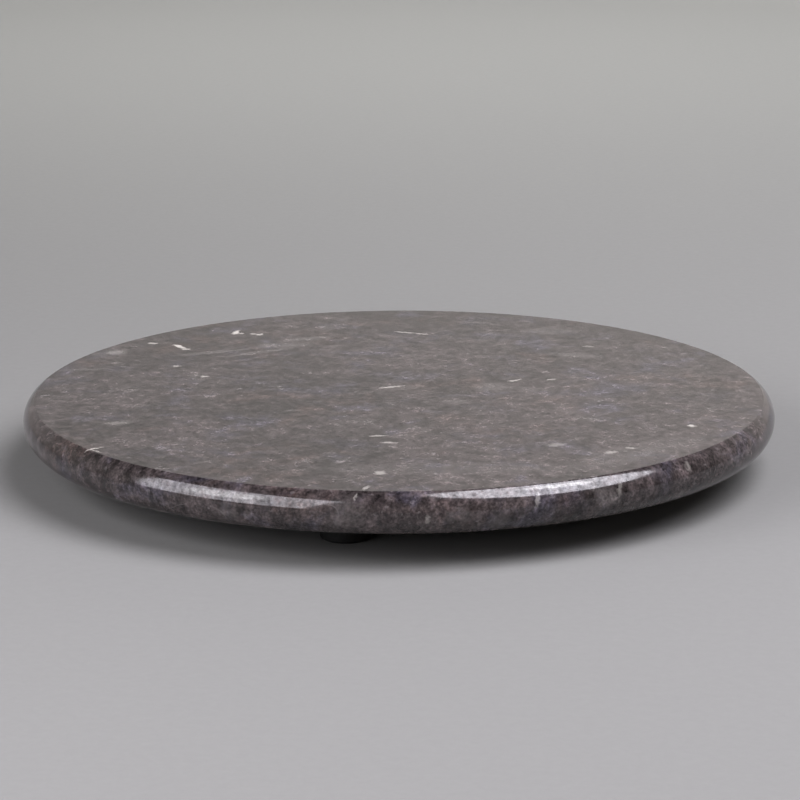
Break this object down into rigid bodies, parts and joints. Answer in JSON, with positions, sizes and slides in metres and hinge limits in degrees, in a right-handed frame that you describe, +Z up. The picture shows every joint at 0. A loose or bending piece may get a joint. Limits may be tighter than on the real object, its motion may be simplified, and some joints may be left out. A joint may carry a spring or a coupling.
{
  "type": "lazy susan turntable",
  "caption": "Round polished stone serving turntable with a rounded edge, on a low ring ball bearing that stands on rubber feet.",
  "frame": {"origin": "on the table, under the centre of the disc", "axes": "+Z up along the spin axis; -Y through foot_1, +X through foot_2"},
  "size_m": [0.3048, 0.3048, 0.0296],
  "materials": {
    "polished_stone": "polished",
    "ring_aluminium": "satin",
    "foot_rubber": "matte",
    "screw_steel": "satin",
    "ball_steel": "polished",
    "insert_brass": "satin",
    "cage_nylon": "matte"
  },
  "bodies": {
    "base": {"base_ring": "ring_aluminium", "foot_1": "foot_rubber", "foot_2": "foot_rubber", "foot_3": "foot_rubber", "foot_4": "foot_rubber", "foot_screw_1": "screw_steel", "foot_screw_2": "screw_steel", "foot_screw_3": "screw_steel", "foot_screw_4": "screw_steel", "fill_plug": "screw_steel"},
    "ball_cage": {"ball_cage": "cage_nylon", "ball_01": "ball_steel", "ball_02": "ball_steel", "ball_03": "ball_steel", "ball_04": "ball_steel", "ball_05": "ball_steel", "ball_06": "ball_steel", "ball_07": "ball_steel", "ball_08": "ball_steel", "ball_09": "ball_steel", "ball_10": "ball_steel", "ball_11": "ball_steel", "ball_12": "ball_steel", "ball_13": "ball_steel", "ball_14": "ball_steel", "ball_15": "ball_steel", "ball_16": "ball_steel", "ball_17": "ball_steel", "ball_18": "ball_steel", "ball_19": "ball_steel", "ball_20": "ball_steel", "ball_21": "ball_steel", "ball_22": "ball_steel", "ball_23": "ball_steel", "ball_24": "ball_steel"},
    "turntable": {"stone_top": "polished_stone", "rotor_ring": "ring_aluminium", "threaded_insert_1": "insert_brass", "threaded_insert_2": "insert_brass", "threaded_insert_3": "insert_brass", "threaded_insert_4": "insert_brass", "rotor_screw_1": "screw_steel", "rotor_screw_2": "screw_steel", "rotor_screw_3": "screw_steel", "rotor_screw_4": "screw_steel"}
  },
  "joints": [
    {"name": "turntable_spin", "type": "hinge", "parent": "base", "child": "turntable", "pos_m": [0, 0, 0.0136], "axis": [0, 0, 1], "continuous": true},
    {"name": "cage_spin", "type": "hinge", "parent": "base", "child": "ball_cage", "pos_m": [0, 0, 0.00905], "axis": [0, 0, 1], "continuous": true}
  ],
  "couplings": [
    {"joint": "cage_spin", "follows": "turntable_spin", "ratio": 0.49}
  ]
}
